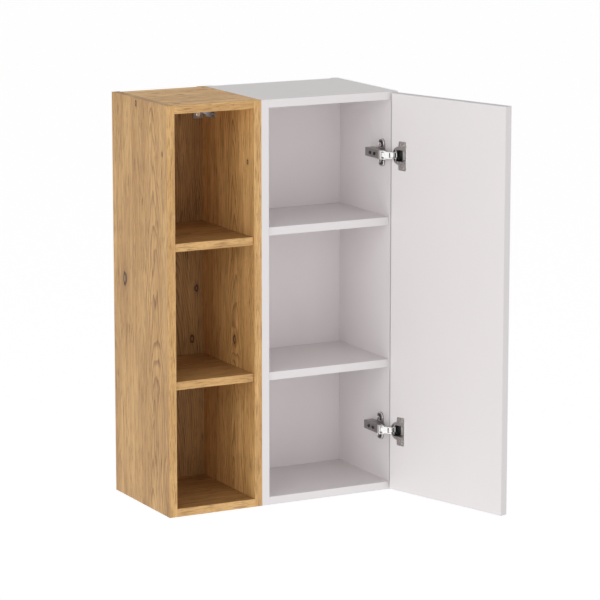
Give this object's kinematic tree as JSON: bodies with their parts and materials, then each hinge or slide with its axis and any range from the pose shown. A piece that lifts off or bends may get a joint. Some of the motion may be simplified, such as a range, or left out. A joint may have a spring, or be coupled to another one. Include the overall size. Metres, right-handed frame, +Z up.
{
  "type": "wall cabinet",
  "caption": "Shallow hanging wall cabinet: open wood-look column with shelves beside a pale module with shelves and a handle-less door on concealed hinges",
  "frame": {"origin": "middle of the width, on the wall plane, at the height where the wall screws carry the keyholes", "axes": "X to the right seen from the front, Y into the wall, Z up"},
  "size_m": [0.5844, 0.5403, 0.8],
  "materials": {
    "oak": "matt wood-look melamine on chipboard, with matching edge band",
    "white": "matt warm white melamine on chipboard, with matching edge band",
    "beech": "fluted beech dowel",
    "zinc": "bright zinc plate",
    "nickel": "bright nickel plate"
  },
  "bodies": {
    "cabinet": {"oak_left_side": "oak", "oak_right_side": "oak", "oak_top": "oak", "oak_bottom": "oak", "oak_upper_shelf": "oak", "oak_lower_shelf": "oak", "oak_back_panel": "oak", "oak_front_edges": "oak", "white_left_side": "white", "white_right_side": "white", "white_top": "white", "white_bottom": "white", "white_upper_shelf": "white", "white_lower_shelf": "white", "white_back_panel": "white", "white_front_edges": "white", "oak_cams": "zinc", "oak_cam_bolts": "zinc", "oak_dowels": "beech", "oak_shelf_pins": "zinc", "oak_hanger_brackets": "zinc", "oak_bracket_screws": "zinc", "white_cams": "zinc", "white_cam_bolts": "zinc", "white_dowels": "beech", "white_shelf_pins": "zinc", "white_hanger_brackets": "zinc", "white_bracket_screws": "zinc", "module_joining_screws": "zinc", "upper_hinge_plate": "nickel", "upper_hinge_plate_screws": "nickel", "upper_hinge_arm": "nickel", "upper_hinge_arm_pins": "nickel", "upper_hinge_arm_screws": "nickel", "lower_hinge_plate": "nickel", "lower_hinge_plate_screws": "nickel", "lower_hinge_arm": "nickel", "lower_hinge_arm_pins": "nickel", "lower_hinge_arm_screws": "nickel"},
    "inner_links": {"upper_hinge_inner_link": "nickel", "lower_hinge_inner_link": "nickel"},
    "outer_links": {"upper_hinge_outer_link": "nickel", "lower_hinge_outer_link": "nickel"},
    "door": {"door_panel": "white", "door_edge_bands": "white", "upper_hinge_cup": "nickel", "upper_hinge_cup_screws": "nickel", "upper_hinge_cup_pins": "nickel", "lower_hinge_cup": "nickel", "lower_hinge_cup_screws": "nickel", "lower_hinge_cup_pins": "nickel"}
  },
  "joints": [
    {"name": "inner_link_swing", "type": "hinge", "parent": "cabinet", "child": "inner_links", "pos_m": [0.2155, -0.246, -0.355], "axis": [0, 0, 1], "range_deg": [-0.5, 2.68]},
    {"name": "outer_link_swing", "type": "hinge", "parent": "cabinet", "child": "outer_links", "pos_m": [0.2185, -0.254, -0.355], "axis": [0, 0, 1], "range_deg": [-0.5, 24.49]},
    {"name": "door_swing", "type": "hinge", "parent": "inner_links", "child": "door", "pos_m": [0.24125, -0.26076, -0.355], "axis": [0, 0, 1], "range_deg": [-109.48, 0]}
  ],
  "couplings": [
    {"joint": "inner_link_swing", "follows": "door_swing", "ratio": -0.022678},
    {"joint": "outer_link_swing", "follows": "door_swing", "ratio": -0.22091}
  ]
}
